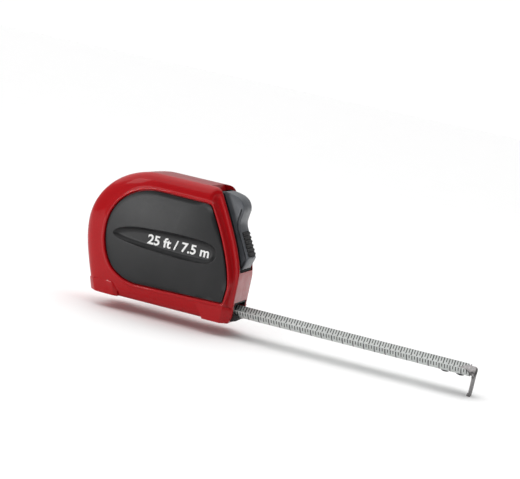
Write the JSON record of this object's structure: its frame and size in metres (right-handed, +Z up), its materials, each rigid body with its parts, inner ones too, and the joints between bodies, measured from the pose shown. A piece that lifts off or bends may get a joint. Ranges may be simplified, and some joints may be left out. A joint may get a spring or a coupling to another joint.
{
  "type": "tape measure",
  "caption": "Pocket tape measure with a sprung, lockable curved steel blade on a reel, a floating end hook and a belt clip.",
  "frame": {"origin": "centre of the flat base that the case stands on", "axes": "+X along the blade towards the hook, +Y across the case towards the belt clip, +Z up"},
  "size_m": [0.2398, 0.0533, 0.084],
  "materials": {
    "red_shell": "metallic red lacquer, high gloss",
    "side_panel": "soft-touch charcoal, matt",
    "lock_grey": "satin moulded dark grey",
    "black_plastic": "satin moulded black",
    "black_rubber": "dull rubber",
    "blade_coat": "clear-coated silver white lacquer with black graduations",
    "spring_steel": "rolled, oiled",
    "bare_steel": "bright plated, lightly worn",
    "acetal": "natural acetal"
  },
  "bodies": {
    "case": {"case_near_half": "red_shell", "case_far_half": "red_shell", "side_panel_near": "side_panel", "side_panel_far": "side_panel", "lock_track": "black_plastic", "detent_spring": "spring_steel", "mouth_bumper": "black_rubber", "mouth_guide": "black_plastic", "spindle": "spring_steel", "thrust_washer_near": "acetal", "thrust_washer_far": "acetal", "power_spring": "spring_steel", "blade_strip": "blade_coat", "case_screw_heel": "spring_steel", "case_screw_nose": "spring_steel", "case_screw_top": "spring_steel", "belt_clip": "bare_steel", "clip_screw": "spring_steel"},
    "reel": {"reel_drum": "acetal", "reel_cover": "acetal", "blade_coil": "blade_coat"},
    "tape_end": {"blade_tip": "blade_coat", "hook_rivet_1": "bare_steel", "hook_rivet_2": "bare_steel"},
    "hook": {"end_hook": "bare_steel"},
    "lock": {"lock_slider": "lock_grey", "thumb_pad": "black_rubber"},
    "brake": {"brake_lever": "black_plastic", "brake_pad": "black_rubber"}
  },
  "joints": [
    {"name": "reel_turn", "type": "hinge", "parent": "case", "child": "reel", "pos_m": [-0.0143, 0, 0.0385], "axis": [0, 1, 0], "range_deg": [0, 264.1], "deforming": ["power_spring"]},
    {"name": "blade_slide", "type": "slide", "parent": "case", "child": "tape_end", "axis": [1, 0, 0], "range_m": [-0.13846, 0], "deforming": ["blade_strip"]},
    {"name": "hook_float", "type": "slide", "parent": "tape_end", "child": "hook", "axis": [1, 0, 0], "range_m": [-0.0007, 0.0007]},
    {"name": "lock_slide", "type": "slide", "parent": "case", "child": "lock", "axis": [-0.4195, 0, 0.9078], "range_m": [0, 0.005], "deforming": ["detent_spring"]},
    {"name": "brake_lift", "type": "slide", "parent": "case", "child": "brake", "axis": [0, 0, 1], "range_m": [0, 0.0016]}
  ],
  "couplings": [
    {"joint": "blade_slide", "follows": "reel_turn", "m_per_rad": -0.03},
    {"joint": "brake_lift", "follows": "lock_slide", "ratio": 0.3}
  ]
}
